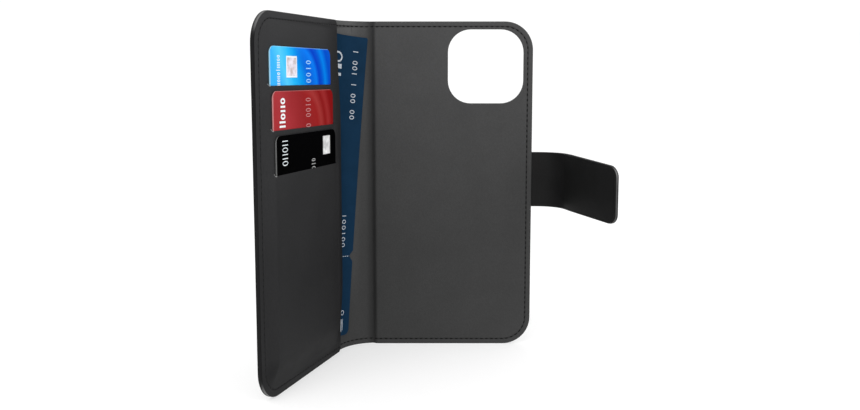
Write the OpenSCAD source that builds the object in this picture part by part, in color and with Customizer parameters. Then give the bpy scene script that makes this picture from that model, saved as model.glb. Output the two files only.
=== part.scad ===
// Phone wallet case: a folio of two covers joined by a soft spine, standing open on its
// bottom edges. +Z is up, +X runs from the spine to the back cover's free edge and -Y is
// the side that the folio opens to. The origin is the middle of the back cover's bottom edge.

/* [Covers] */
// Height of both covers and the spine
cover_h = 152; // [145:1:165]
// Width of the back cover, from the spine fold to its free edge
back_w = 73; // [71:0.5:80]
// Width of the front cover, from the spine fold to its free edge
front_w = 73.5; // [71:0.5:80]
// Radius of the covers' two free corners
corner_r = 13; // [8:0.5:18]
// Thickness of a finished cover at its edge
cover_t = 2; // [2:0.1:2.6]
// Distance of the stitched groove from the free edges
groove_inset = 2.4; // [2:0.1:4]

/* [Spine] */
// Width of the spine along its curve
spine_w = 22.2; // [20:0.1:26]
// Angle that the spine is bent through as the folio stands
fold_deg = 71.5; // [60:0.5:80]

/* [Camera cut-out] */
// Width of the cut-out
camera_w = 34.9; // [30:0.1:38]
// Height of the cut-out
camera_h = 33.9; // [30:0.1:38]
// Corner radius of the cut-out
camera_r = 10.5; // [6:0.5:14]
// Margin between the cut-out and the free edge
camera_side = 4.3; // [4:0.1:6]
// Margin between the cut-out and the top edge
camera_top = 3.6; // [3.2:0.1:6]

/* [Cards] */
// Height of the lowest slit above the bottom edge
slit_z = 88.8; // [86:0.1:92]
// Distance between neighbouring slits
slit_pitch = 17.3; // [15:0.1:19]
// How far each card stands out of its slit
card_show = 15.2; // [10:0.1:17]
// Distance of the cards from the front cover's free edge
card_side = 10; // [9.8:0.1:12]

/* [Strap] */
// Height of the strap's middle above the bottom edge
strap_z = 79; // [60:1:95]
// Width of the strap where it leaves the back cover
strap_w = 25.6; // [22:0.1:30]
// Width of the strap at its tip
strap_tip_w = 24; // [20:0.5:28]
// Length of the straight tip beyond its fold
strap_tip_l = 46.9; // [35:0.1:50]
// Angle that the strap is bent through at rest
strap_deg = 76; // [60:0.1:85]

/* [Hidden] */
$fn = 64;
eps = 0.5;
glue = 0.02;

// Layers of the covers: depth v is counted from the middle of the back cover towards the
// inside of the folio, so the outer face is at -cover_t/2.
half_t = cover_t / 2;
outer_v = -half_t;
skin_t = 0.4;
edge_t = 0.5;
lining_t = 0.4;
hem_x = -0.95;

// Spine: an arc about a vertical axis, with its two folds just inside its ends
mid_r = spine_w / (fold_deg * PI / 180);
fold_in_deg = 6.5;
fold_r = mid_r + half_t / 2;
spine_end_deg = fold_in_deg + 2.9;
spine_x = -back_w / 2;
spine_lining_t = 0.2;
spine_step_deg = 0.2;

// Back cover
board_margin = 0.06;
camera_x = back_w - camera_side - camera_w / 2;
camera_z = cover_h - camera_top - camera_h / 2;
plate_w = 40;
plate_h = 14;
plate_r = 2;
plate_t = 0.5;
upper_plate_z = 96;
lower_plate_z = 30;

// Front cover: board, lining and the pockets built up on it
front_board_t = 0.4;
front_lining_t = 0.2;
clasp_d = 16;
clasp_t = 0.3;
clasp_x = 58;
sheet_t = 0.15;
panel_t = 0.2;
rim_w = 3.6;
card_t = 0.76;
card_w = 53.98;
card_h = 85.6;
card_r = 3.18;
card_gap = 0.05;
ticket_t = 0.15;
ticket_v = 0.04;
pocket_v = half_t + glue - panel_t;
layer_step = sheet_t + card_t + 2 * card_gap;
card_x = front_w - card_side - card_w;
pocket_side = 1.2;
slit_gap = 0.6;
mouth_x = 0.3;
panel_slope = 5.8;
mouth_slope = 7.6;
foot_slope = 9;
slits = [for (k = [2, 1, 0]) slit_z + k * slit_pitch];

// Ticket: a tall paper slip that leans out of the bill pocket over the spine
ticket_low = 6.3;
ticket_high = 144.4;
ticket_top_x = -39.9;
ticket_low_x = -50.4;
ticket_in = 28;
ticket_tail_v = 0.12;

// Strap
strap_t = 1.5;
anchor_t = 0.9;
anchor_in = 13;
strap_x = back_w / 2 + 2.2;
strap_r = 13.2;
strap_run = 4.8;
bend_gap = 1;
strap_corner = 4.5;
strap_skin_t = 0.4;
magnet_d = 10;
magnet_t = 0.5;

// Thread and grooves
groove_w = 0.7;
groove_t = 0.18;
thread_w = 0.4;
thread_t = 0.14;

// ---------- frames ----------

// The back cover's own frame: x = 0 at the spine fold, growing to the free edge
module in_back()
    translate([-back_w / 2, 0, 0]) children();

// The front cover's own frame, laid out as the back cover's
module in_front()
    translate([spine_x, -mid_r, 0])
    rotate([0, 0, fold_deg])
    translate([0, mid_r, 0])
    mirror([1, 0, 0])
    children();

// A flat sheet between depths v0 and v1, from an outline in x and z
module sheet(v0, v1)
    translate([0, -v0, 0])
    rotate([90, 0, 0])
    linear_extrude(v1 - v0)
    children();

// ---------- outlines ----------

// A cover's outline with two round corners on its free side, drawn in by inset
module cover_outline(w, inset = 0, x0 = hem_x) {
    r = corner_r - inset;
    translate([x0, inset]) square([w - corner_r - x0, cover_h - 2 * inset]);
    translate([w - corner_r - eps, corner_r]) square([r + eps, cover_h - 2 * corner_r]);
    for (z = [corner_r, cover_h - corner_r])
        translate([w - corner_r, z]) circle(r);
}

// A rectangle with round corners, centred
module rounded(w, h, r) {
    square([w, h - 2 * r], center = true);
    square([w - 2 * r, h], center = true);
    for (x = [-1, 1], z = [-1, 1])
        translate([x * (w / 2 - r), z * (h / 2 - r)]) circle(r);
}

module camera_outline(grow = 0)
    translate([camera_x, camera_z])
    rounded(camera_w + 2 * grow, camera_h + 2 * grow, camera_r + grow);

// The line that thread and groove follow round a cover's free sides
module stitch_line(w, line_w, x0)
    difference() {
        cover_outline(w, groove_inset - line_w / 2, x0);
        cover_outline(w, groove_inset + line_w / 2, x0 - eps);
    }

module slot_at_strap(h, x0, x1)
    translate([x0, strap_z - h / 2]) square([x1 - x0, h]);

// ---------- cover layers ----------

// An outer skin turned over the board's edges, so it is a shallow tray
module cover_skin(w)
    difference() {
        sheet(outer_v, half_t) cover_outline(w);
        sheet(outer_v + skin_t, half_t + eps) children();
    }

// ---------- back cover ----------

module back_recess()
    difference() {
        cover_outline(back_w, edge_t, 0);
        camera_outline(edge_t);
    }

module back_outer_skin()
    color("#2a2a2b")
    in_back()
    difference() {
        cover_skin(back_w) back_recess();
        sheet(outer_v - eps, half_t + eps) camera_outline();
        sheet(-anchor_t / 2 - board_margin, anchor_t / 2 + board_margin)
            slot_at_strap(strap_w + 2 * board_margin, back_w - edge_t - eps, back_w + eps);
    }

board_v0 = outer_v + skin_t + glue;
board_v1 = half_t - lining_t - glue;

module back_layer_outline(margin)
    difference() {
        cover_outline(back_w, edge_t + margin, margin);
        camera_outline(edge_t + margin);
    }

module plate_outline(z, grow = 0)
    translate([back_w / 2, z])
    rounded(plate_w + 2 * grow, plate_h + 2 * grow, plate_r + grow);

module back_board()
    color("#6d675d")
    in_back()
    difference() {
        sheet(board_v0, board_v1)
            difference() {
                back_layer_outline(board_margin);
                slot_at_strap(strap_w + 2 * board_margin, back_w - anchor_in - board_margin, back_w);
            }
        sheet(board_v1 - plate_t - glue, board_v1 + eps) plate_outline(upper_plate_z, board_margin);
        sheet(board_v1 - plate_t - glue, board_v1 + eps) plate_outline(lower_plate_z, board_margin);
    }

module holding_plate(z)
    color("#9a9a9c")
    in_back()
    sheet(board_v1 - plate_t, board_v1) plate_outline(z);

module upper_holding_plate() holding_plate(upper_plate_z);
module lower_holding_plate() holding_plate(lower_plate_z);

module back_lining()
    color("#454546")
    in_back()
    difference() {
        sheet(half_t - lining_t, half_t) back_layer_outline(board_margin);
        sheet(half_t - groove_t, half_t + eps)
            difference() {
                stitch_line(back_w, groove_w, 0);
                camera_outline(edge_t);
            }
    }

module back_stitching()
    color("#161616")
    in_back()
    sheet(half_t - groove_t + glue, half_t - groove_t + glue + thread_t)
    difference() {
        stitch_line(back_w, thread_w, board_margin);
        camera_outline(edge_t);
    }

// The strap's thin root, sewn into a notch in the board
module strap_anchor()
    color("#202021")
    in_back()
    sheet(-anchor_t / 2, anchor_t / 2)
    slot_at_strap(strap_w, back_w - anchor_in, back_w / 2 + strap_x - bend_gap);

// ---------- spine ----------

// A layer of the spine between depths v0 and v1, trim_deg short of each fold
module spine_layer(v0, v1, trim_deg = 0, z0 = 0, z1 = cover_h)
    translate([spine_x, -mid_r, 0])
    rotate([0, 0, 90 + spine_end_deg + trim_deg])
    rotate_extrude(angle = fold_deg - 2 * spine_end_deg - 2 * trim_deg)
    translate([mid_r - v1, z0])
    square([v1 - v0, z1 - z0]);

hem_deg = edge_t / mid_r * 180 / PI;

module spine_outer_skin()
    color("#2a2a2b")
    difference() {
        spine_layer(outer_v, 0);
        spine_layer(outer_v + skin_t, eps, hem_deg, edge_t, cover_h - edge_t);
    }

module spine_stiffener()
    color("#6d675d")
    spine_layer(outer_v + skin_t + glue, -spine_lining_t - glue, 2 * hem_deg,
        2 * edge_t, cover_h - 2 * edge_t);

module spine_lining()
    color("#4d4d4e")
    difference() {
        spine_layer(-spine_lining_t, 0, hem_deg + spine_step_deg, edge_t + board_margin,
            cover_h - edge_t - board_margin);
        for (z = [groove_inset, cover_h - groove_inset])
            spine_layer(-spine_lining_t / 2, eps, -eps, z - groove_w / 2, z + groove_w / 2);
    }

module spine_stitching()
    color("#161616")
    for (z = [groove_inset, cover_h - groove_inset])
        spine_layer(glue - spine_lining_t / 2, 0, hem_deg + 2 * spine_step_deg,
            z - thread_w / 2, z + thread_w / 2);

// The part of the ticket that lies round the spine
module ticket_tail()
    color("#163450")
    intersection() {
        spine_layer(ticket_tail_v, ticket_tail_v + ticket_t, 2 * spine_step_deg);
        translate([0, eps, 0])
        rotate([90, 0, 0])
        linear_extrude(mid_r)
        polygon([
            [ticket_top_x, ticket_high],
            [ticket_low_x, ticket_low],
            [spine_x - mid_r - eps, ticket_low],
            [spine_x - mid_r - eps, ticket_high],
        ]);
    }

// ---------- front cover ----------

module front_layer_outline(margin)
    cover_outline(front_w, edge_t + margin, hem_x + edge_t + margin);

front_board_v0 = outer_v + skin_t + glue;
front_lining_v0 = -front_lining_t;

// The hem beside the spine stops at the lining, so that the bill pocket is open
module front_outer_skin()
    color("#2a2a2b")
    in_front()
    difference() {
        cover_skin(front_w) cover_outline(front_w, edge_t, hem_x + edge_t);
        sheet(0, half_t + eps) translate([hem_x - eps, -eps]) square([2 * eps + edge_t, cover_h + 2 * eps]);
    }

module clasp_outline(grow = 0)
    translate([clasp_x, strap_z]) circle(d = clasp_d + 2 * grow);

module front_board()
    color("#6d675d")
    in_front()
    difference() {
        sheet(front_board_v0, front_lining_v0 - glue) front_layer_outline(board_margin);
        sheet(front_board_v0 - eps, front_board_v0 + clasp_t + glue) clasp_outline(board_margin);
    }

module clasp_plate()
    color("#9a9a9c")
    in_front()
    sheet(front_board_v0, front_board_v0 + clasp_t) clasp_outline();

module front_lining()
    color("#454546")
    in_front()
    sheet(front_lining_v0, 0) front_layer_outline(board_margin);

// Underside of the pocket panel at step k: 0 above the top slit, 3 below the bottom slit.
// Step 0 is level with the rim, so that the top card slides out over it.
function level(k) = pocket_v + k * layer_step;

// The stepped side view of the pockets, in z and v, raised by a sheet's thickness
module pocket_steps(up) {
    top_z = cover_h - rim_w + (up > 0 ? eps : 0);
    foot_z = rim_w;
    low_v = up > 0 ? glue : -eps;
    polygon([
        [top_z, low_v],
        [top_z, level(0) + up],
        [slits[0], level(0) + up],
        [slits[0], level(1) + up],
        [slits[1], level(1) + up],
        [slits[1], level(2) + up],
        [slits[2], level(2) + up],
        [slits[2], level(3) + up],
        [foot_z + foot_slope, level(3) + up],
        [foot_z, level(0) + up],
        [foot_z, low_v],
    ]);
}

// The plan of the pockets, in x and v: sloped down to the rim and to the pocket's mouth
module pocket_plan(up)
    polygon([
        [mouth_x - (up > 0 ? 0 : eps), -eps],
        [mouth_x - (up > 0 ? 0 : eps), level(0) + up],
        [mouth_x + mouth_slope, level(3) + up],
        [front_w - rim_w - panel_slope, level(3) + up],
        [front_w - rim_w, level(0) + up],
        [front_w - rim_w, -eps],
    ]);

module pocket_block(up)
    intersection() {
        multmatrix([[0, 0, 1, 0], [0, -1, 0, 0], [1, 0, 0, 0], [0, 0, 0, 1]])
            linear_extrude(front_w) pocket_steps(up);
        mirror([0, 1, 0])
            linear_extrude(cover_h) pocket_plan(up);
    }

// The pocket panel: one sheet, stitched down along three sides and stepped out at each slit
module pocket_panel()
    color("#343435")
    in_front()
    difference() {
        union() {
            sheet(glue, half_t)
                difference() {
                    cover_outline(front_w, edge_t + board_margin, mouth_x);
                    translate([mouth_x - eps, rim_w])
                        square([front_w - rim_w - mouth_x + eps, cover_h - 2 * rim_w]);
                }
            pocket_block(panel_t);
        }
        pocket_block(0);
        for (k = [0:2])
            translate([card_x - pocket_side / 2, -level(k + 1), slits[k] - slit_gap])
                cube([card_w + pocket_side, layer_step, 2 * slit_gap]);
        sheet(half_t - groove_t, half_t + eps) stitch_line(front_w, groove_w, mouth_x - eps);
    }

module front_stitching()
    color("#161616")
    in_front()
    sheet(half_t - groove_t + glue, half_t - groove_t + glue + thread_t)
    stitch_line(front_w, thread_w, mouth_x + eps);

// The hidden sheet that hangs from slit k behind its card
module card_pocket(k)
    color("#3a3a3b")
    in_front()
    translate([card_x - pocket_side, -level(k) - sheet_t, slits[k] - (card_h - card_show) - pocket_side])
    cube([card_w + 2 * pocket_side, sheet_t, card_h - card_show + pocket_side - glue]);

module top_card_pocket() card_pocket(0);
module middle_card_pocket() card_pocket(1);
module bottom_card_pocket() card_pocket(2);

// The part of the ticket that is inside the bill pocket
module ticket_body()
    color("#163450")
    in_front()
    sheet(ticket_v, ticket_v + ticket_t)
    translate([mouth_x + glue, ticket_low]) square([ticket_in, ticket_high - ticket_low]);

// ---------- cards ----------

// A place on card k, from its lower left corner as it stands in its slit
module on_card(k)
    in_front()
    translate([card_x, -level(k) - sheet_t - card_gap, slits[k] + card_show - card_h])
    children();

module card(k)
    on_card(k)
    rotate([90, 0, 0])
    linear_extrude(card_t)
    translate([card_w / 2, card_h / 2])
    rounded(card_w, card_h, card_r);

chip_w = 9.2;
chip_h = 8.5;
chip_t = 0.3;
chip_x = card_w - 13.2 - chip_w;
chip_z = card_h - card_show + 3.1;
foil_w = 7;
foil_h = 7.9;
foil_t = 0.1;
foil_x = card_w - 41.4 - foil_w;
foil_z = card_h - card_show + 4.9;

module card_patch(x, z, w, h, t, grow = 0)
    translate([x - grow, -card_t - (grow > 0 ? eps : 0), z - grow])
    cube([w + 2 * grow, t + (grow > 0 ? eps : 0) + grow, h + 2 * grow]);

module top_card()
    color("#1590ee")
    difference() {
        card(0);
        on_card(0) card_patch(chip_x, chip_z, chip_w, chip_h, chip_t, glue);
    }

module top_card_chip()
    color("#c9c9cc")
    on_card(0) card_patch(chip_x, chip_z, chip_w, chip_h, chip_t);

module middle_card()
    color("#9e2a30")
    card(1);

module bottom_card()
    color("#0a0a0b")
    difference() {
        card(2);
        on_card(2) card_patch(foil_x, foil_z, foil_w, foil_h, foil_t, glue);
    }

module bottom_card_foil()
    color("#d8d8da")
    on_card(2) card_patch(foil_x, foil_z, foil_w, foil_h, foil_t);

// ---------- strap ----------

// The strap's frame at its second fold, x along the strap
module in_tip()
    translate([strap_x, -strap_r, 0])
    rotate([0, 0, -strap_deg])
    translate([strap_run, strap_r, 0])
    children();

bend_deg = bend_gap / strap_r * 180 / PI;

// A curved layer of the strap beside the back cover
module side_layer(v0, v1)
    translate([strap_x, -strap_r, strap_z - strap_w / 2]) {
        rotate([0, 0, 90 - strap_deg])
            rotate_extrude(angle = strap_deg - bend_deg)
            translate([strap_r - v1, 0])
            square([v1 - v0, strap_w]);
        rotate([0, 0, -strap_deg])
            translate([-glue, strap_r - v1, 0])
            cube([strap_run - bend_gap + glue, v1 - v0, strap_w]);
    }

module strap_side_skin()
    color("#202021")
    side_layer(-strap_t / 2, -glue);

module strap_side_lining()
    color("#1c1c1d")
    side_layer(0, strap_t / 2);

// The tip's outline: it narrows a little and ends in two round corners
module tip_outline(inset = 0) {
    r = strap_corner - inset;
    end = strap_tip_l - strap_corner;
    w0 = strap_w / 2 - inset;
    w1 = strap_tip_w / 2 - inset;
    polygon([[bend_gap + inset, -w0], [end, -w1], [end, w1], [bend_gap + inset, w0]]);
    translate([end - eps, r - w1]) square([r + eps, 2 * (w1 - r)]);
    for (side = [-1, 1])
        translate([end, side * (w1 - r)]) circle(r);
}

module tip_sheet(v0, v1)
    in_tip()
    translate([0, 0, strap_z])
    sheet(v0, v1)
    children();

core_v = strap_t / 2 - strap_skin_t;
magnet_x = [16, 30];

module strap_tip_skin()
    color("#202021")
    difference() {
        tip_sheet(-strap_t / 2, core_v) tip_outline();
        tip_sheet(-core_v, core_v + eps) tip_outline(edge_t);
    }

module strap_tip_lining()
    color("#1c1c1d")
    tip_sheet(core_v + glue, strap_t / 2) tip_outline();

module magnet_outline(grow = 0)
    for (x = magnet_x)
        translate([x, 0]) circle(d = magnet_d + 2 * grow);

module strap_tip_stiffener()
    color("#6d675d")
    tip_sheet(glue - core_v, core_v - glue)
    difference() {
        tip_outline(edge_t + board_margin);
        magnet_outline(board_margin);
    }

module strap_magnets()
    color("#9a9a9c")
    tip_sheet(-magnet_t / 2, magnet_t / 2) magnet_outline();

back_outer_skin();
back_board();
back_lining();
back_stitching();
upper_holding_plate();
lower_holding_plate();
strap_anchor();
spine_outer_skin();
spine_stiffener();
spine_lining();
spine_stitching();
ticket_tail();
front_outer_skin();
front_board();
front_lining();
pocket_panel();
top_card_pocket();
middle_card_pocket();
bottom_card_pocket();
clasp_plate();
front_stitching();
ticket_body();
top_card();
top_card_chip();
middle_card();
bottom_card();
bottom_card_foil();
strap_side_skin();
strap_side_lining();
strap_tip_skin();
strap_tip_lining();
strap_tip_stiffener();
strap_magnets();
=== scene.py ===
"""Phone wallet case: the visual model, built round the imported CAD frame.

The case is cut and sewn flat, so every leather piece is made flat too, in (s, z, v):
s runs across the open case (0 at the back fold, growing over the back cover and falling
over the spine and the front cover), z is the height and v the depth towards the inside.
wrap() then lays a flat point onto the folded case. Lengths in this script are millimetres
until a mesh is finished.
"""
import math

import bmesh
import bpy
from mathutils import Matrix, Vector


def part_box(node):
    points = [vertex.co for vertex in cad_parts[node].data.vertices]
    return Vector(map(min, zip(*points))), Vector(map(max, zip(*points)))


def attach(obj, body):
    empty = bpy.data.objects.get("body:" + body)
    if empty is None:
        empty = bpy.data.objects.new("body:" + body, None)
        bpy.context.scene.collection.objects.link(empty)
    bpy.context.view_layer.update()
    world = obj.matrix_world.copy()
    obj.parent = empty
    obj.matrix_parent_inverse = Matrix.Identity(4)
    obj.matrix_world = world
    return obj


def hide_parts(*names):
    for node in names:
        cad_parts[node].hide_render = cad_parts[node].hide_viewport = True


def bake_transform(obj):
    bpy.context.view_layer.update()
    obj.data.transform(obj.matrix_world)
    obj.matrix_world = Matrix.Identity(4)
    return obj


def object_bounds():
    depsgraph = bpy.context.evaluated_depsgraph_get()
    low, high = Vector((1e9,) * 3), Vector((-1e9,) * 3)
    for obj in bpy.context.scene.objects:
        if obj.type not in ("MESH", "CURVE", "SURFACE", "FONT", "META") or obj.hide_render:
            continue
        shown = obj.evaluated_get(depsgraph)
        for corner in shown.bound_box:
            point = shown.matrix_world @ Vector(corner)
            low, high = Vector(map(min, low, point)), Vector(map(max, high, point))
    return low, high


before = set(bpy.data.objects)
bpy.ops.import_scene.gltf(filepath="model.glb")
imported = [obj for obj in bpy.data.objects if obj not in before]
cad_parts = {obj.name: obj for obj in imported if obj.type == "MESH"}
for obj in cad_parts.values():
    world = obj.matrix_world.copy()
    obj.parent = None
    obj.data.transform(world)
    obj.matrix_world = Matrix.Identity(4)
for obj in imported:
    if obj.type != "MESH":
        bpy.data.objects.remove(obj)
cad_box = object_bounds()

# ---------------------------------------------------------------- driving sizes (mm)
MM = 0.001


def node_box(node):
    lo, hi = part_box(node)
    return Vector(lo) / MM, Vector(hi) / MM


# the covers and the spine between them
COVER_H = node_box("back_outer_skin")[1].z
BACK_W = 2 * node_box("back_outer_skin")[1].x
FRONT_W = 73.5
CORNER_R = 13.0
FOLD = math.radians(71.5)
SPINE_W = 22.2
MID_R = SPINE_W / FOLD
SPINE_X = -BACK_W / 2
SPINE_MID = -SPINE_W / 2
# where the soft bend of each fold starts and ends, along s
BACK_BEND = (0.3, -4.4)
FRONT_BEND = (-18.0, -22.7)
# the stitched seam's distance from the edge, and how much deeper it lies on the front cover
GROOVE = 2.4
SEAM_DEEPER = 0.6

# the camera cut-out
CAM_W, CAM_H, CAM_R = 34.9, 33.9, 10.5
CAM_S = BACK_W - 4.3 - CAM_W / 2
CAM_Z = COVER_H - 3.6 - CAM_H / 2

# the cards, their slits from the top down, and the step from one card's level to the next
CARD_W, CARD_H, CARD_T = 53.98, 85.6, 0.76
CARD_X = FRONT_W - 10 - CARD_W
CARD_SHOW = 15.2
CHIP_W, CHIP_H = 9.2, 8.5
CHIP_ACROSS, CHIP_UP = 13.2, CARD_H - CARD_SHOW + 3.1
SLITS = [88.8 + 17.3 * k for k in (2, 1, 0)]
LEVEL_STEP = 1.01
# the pocket panel's face and mouth, its flat rim and the slopes beside the raised middle
PANEL_TOP = 1.02
PANEL_X = 0.3
RIM, FOOT, SIDE_SLOPE, MOUTH_SLOPE = 3.6, 13.5, 5.8, 7.6

# the strap: width, straight start, bend, straight run and tip
STRAP_Z = (node_box("strap_side_skin")[0].z + node_box("strap_side_skin")[1].z) / 2
STRAP_W, STRAP_TIP_W = 25.6, 24.0
STRAP_S = 2.2
STRAP_R, STRAP_BEND, STRAP_RUN, STRAP_TIP = 13.2, math.radians(76), 4.8, 46.9
STRAP_ROOT = 13
STRAP_FULL = 24.7


# ---------------------------------------------------------------- wrapping
def lerp(a, b, t):
    return a + (b - a) * t


def ease(t):
    t = min(1.0, max(0.0, t))
    return t * t * (3 - 2 * t)


def wrap(s, z, v):
    """A flat point of the case, laid onto the folded case (mm)."""
    if s >= 0:
        return Vector((SPINE_X + s, -v, z))
    turn = min(-s / MID_R, FOLD)
    r = MID_R - v
    x = SPINE_X - r * math.sin(turn)
    y = -MID_R + r * math.cos(turn)
    beyond = max(0.0, -s - SPINE_W)
    return Vector((x - beyond * math.cos(FOLD), y - beyond * math.sin(FOLD), z))


def front(x, z, v):
    """A point of the front cover, x from the spine."""
    return wrap(-SPINE_W - x, z, v)


def strap_wrap(s, z, v):
    """A flat point of the strap, s from the back cover's edge."""
    bend_s = s - STRAP_S
    if bend_s <= 0:
        return Vector((BACK_W / 2 + s, -v, z))
    turn = min(bend_s / STRAP_R, STRAP_BEND)
    r = STRAP_R - v
    x = BACK_W / 2 + STRAP_S + r * math.sin(turn)
    y = -STRAP_R + r * math.cos(turn)
    beyond = max(0.0, bend_s - STRAP_R * STRAP_BEND)
    return Vector((x + beyond * math.cos(STRAP_BEND), y - beyond * math.sin(STRAP_BEND), z))


# ---------------------------------------------------------------- outlines, in (s, z)
def arc(cx, cz, r, a0, a1, n):
    return [
        (cx + r * math.cos(math.radians(a0 + (a1 - a0) * i / n)),
         cz + r * math.sin(math.radians(a0 + (a1 - a0) * i / n)))
        for i in range(n + 1)
    ]


def cover_path(s0, w, sign=1):
    """The free sides of a cover drawn in by d, from s0 along the bottom, up and back."""
    def path(d):
        c = w - CORNER_R
        r = CORNER_R - d
        points = [(s0, d)]
        points += arc(c, CORNER_R, r, -90, 0, 14)
        points += arc(c, COVER_H - CORNER_R, r, 0, 90, 14)
        points += [(s0, COVER_H - d)]
        return [(sign * s if sign > 0 else -SPINE_W - s, z) for s, z in points]
    return path


def front_path(start):
    """The front cover's free sides. Its seam lies deeper in than the spine's."""
    plain = cover_path(start, FRONT_W, -1)

    def path(d):
        if not 1.5 < d < 4:
            return plain(d)
        return [(lerp(s0, s1, seam_share(s0)), lerp(z0, z1, seam_share(s0)))
                for (s0, z0), (s1, z1) in zip(plain(d), plain(d + SEAM_DEEPER))]
    return path


def seam_share(s):
    """0 on the spine and 1 on the front cover, where the seam has moved in."""
    return ease((-SPINE_W - s) / 6)


def rounded_path(cs, cz, w, h, r, n=10):
    """A closed rectangle with round corners, grown by d."""
    def path(d):
        points = []
        for sx, sz, a in ((1, -1, -90), (1, 1, 0), (-1, 1, 90), (-1, -1, 180)):
            x, z = cs + sx * (w / 2 - r), cz + sz * (h / 2 - r)
            points += arc(x, z, max(r + d, 0.01), a, a + 90, n)
        return points
    return path


# ---------------------------------------------------------------- flat slabs
def ring(bm, points, v):
    return [bm.verts.new((s, z, v)) for s, z in points]


def bridge(bm, a, b, closed):
    n = len(a)
    for i in range(n if closed else n - 1):
        j = (i + 1) % n
        bm.faces.new((a[i], a[j], b[j], b[i]))


def loop_edges(bm, ring_verts):
    n = len(ring_verts)
    pairs = [(ring_verts[i], ring_verts[(i + 1) % n]) for i in range(n)]
    return [bm.edges.get(p) or bm.edges.new(p) for p in pairs]


def fill(bm, loops, up):
    edges = [e for loop in loops for e in loop_edges(bm, loop)]
    made = bmesh.ops.triangle_fill(bm, use_beauty=True, use_dissolve=False, edges=edges,
                                   normal=(0, 0, 1 if up else -1))
    return [g for g in made["geom"] if isinstance(g, bmesh.types.BMFace)]


def slab(path, profile, closed=False, holes=()):
    """A flat closed solid. profile lists (inset, v) from the outer face round the edge to
    the inner face; an open path is closed by a plane cut. holes are (path, profile) pairs
    whose insets count outwards from the hole."""
    bm = bmesh.new()
    rings = [ring(bm, path(d), v) for d, v in profile]
    for a, b in zip(rings, rings[1:]):
        bridge(bm, a, b, closed)
    if not closed:
        cap = [r[0] for r in rings] + [r[-1] for r in reversed(rings)]
        bm.faces.new(cap)
    low, high = [rings[0]], [rings[-1]]
    for hole_path, hole_profile in holes:
        hole = [ring(bm, hole_path(d), v) for d, v in hole_profile]
        for a, b in zip(hole, hole[1:]):
            bridge(bm, a, b, True)
        low.append(hole[0])
        high.append(hole[-1])
    fill(bm, low, False)
    fill(bm, high, True)
    bmesh.ops.recalc_face_normals(bm, faces=bm.faces)
    return bm


def cut(bm, axis, places):
    """Adds an edge line across the flat mesh at each place along s (0) or z (1)."""
    normal = Vector((0, 0, 0))
    normal[axis] = 1
    for place in places:
        geom = bm.verts[:] + bm.edges[:] + bm.faces[:]
        point = Vector((0, 0, 0))
        point[axis] = place
        bmesh.ops.bisect_plane(bm, geom=geom, dist=1e-5, plane_co=point, plane_no=normal)


def steps(a, b, size):
    n = max(1, round(abs(b - a) / size))
    return [a + (b - a) * i / n for i in range(n + 1)]


def finish_mesh(bm, name, place, material, smooth=True, painted_light=None):
    """Moves each flat vertex to its place, in metres, and makes the object. The optional function gives
    the painted shade (above 0) or painted highlight (below 0) at a flat point."""
    # store the painted shade and painted highlights as a per-point layer
    if painted_light:
        painted_light_layer = bm.verts.layers.float.new("painted_light_layer")
        for vert in bm.verts:
            vert[painted_light_layer] = painted_light(*vert.co)
    for vert in bm.verts:
        vert.co = place(*vert.co) * MM
    bmesh.ops.remove_doubles(bm, verts=bm.verts, dist=1e-7)
    big = [f for f in bm.faces if len(f.verts) > 4]
    bmesh.ops.triangulate(bm, faces=big)
    bmesh.ops.recalc_face_normals(bm, faces=bm.faces)
    mesh = bpy.data.meshes.new(name)
    bm.to_mesh(mesh)
    bm.free()
    mesh.materials.append(material)
    mesh.polygons.foreach_set("use_smooth", [smooth] * len(mesh.polygons))
    obj = bpy.data.objects.new(name, mesh)
    bpy.context.scene.collection.objects.link(obj)
    if smooth:
        mesh.set_sharp_from_angle(angle=math.radians(50))
        mod = obj.modifiers.new("even_normals", "WEIGHTED_NORMAL")
        mod.keep_sharp = True
        mod.weight = 80
    return obj


# ---------------------------------------------------------------- materials
def srgb(code):
    """A colour as written in a picture, turned to linear light."""
    parts = [int(code[i:i + 2], 16) / 255 for i in (1, 3, 5)]
    return tuple(c / 12.92 if c <= 0.04045 else ((c + 0.055) / 1.055) ** 2.4 for c in parts)


def node_tree(name):
    mat = bpy.data.materials.new(name)
    mat.use_nodes = True
    nodes, links = mat.node_tree.nodes, mat.node_tree.links
    return mat, nodes, links, nodes["Principled BSDF"]


def coords(nodes):
    return nodes.new("ShaderNodeTexCoord").outputs["Object"]


def noise(nodes, links, at, scale, detail=3.0, rough=0.55):
    n = nodes.new("ShaderNodeTexNoise")
    n.inputs["Scale"].default_value = scale
    n.inputs["Detail"].default_value = detail
    n.inputs["Roughness"].default_value = rough
    links.new(at, n.inputs["Vector"])
    return n.outputs["Fac"]


def ramp(nodes, links, fac, stops):
    r = nodes.new("ShaderNodeValToRGB")
    while len(r.color_ramp.elements) < len(stops):
        r.color_ramp.elements.new(0.5)
    for e, (pos, col) in zip(r.color_ramp.elements, stops):
        e.position = pos
        e.color = (*col, 1)
    links.new(fac, r.inputs["Fac"])
    return r.outputs["Color"]


def span(nodes, links, value, a, b, to_a, to_b):
    m = nodes.new("ShaderNodeMapRange")
    for key, val in zip(("From Min", "From Max", "To Min", "To Max"), (a, b, to_a, to_b)):
        m.inputs[key].default_value = val
    links.new(value, m.inputs["Value"])
    return m.outputs["Result"]


def bump(nodes, links, height, strength, distance, under=None):
    b = nodes.new("ShaderNodeBump")
    b.inputs["Strength"].default_value = strength
    b.inputs["Distance"].default_value = distance
    links.new(height, b.inputs["Height"])
    if under is not None:
        links.new(under, b.inputs["Normal"])
    return b.outputs["Normal"]


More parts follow.
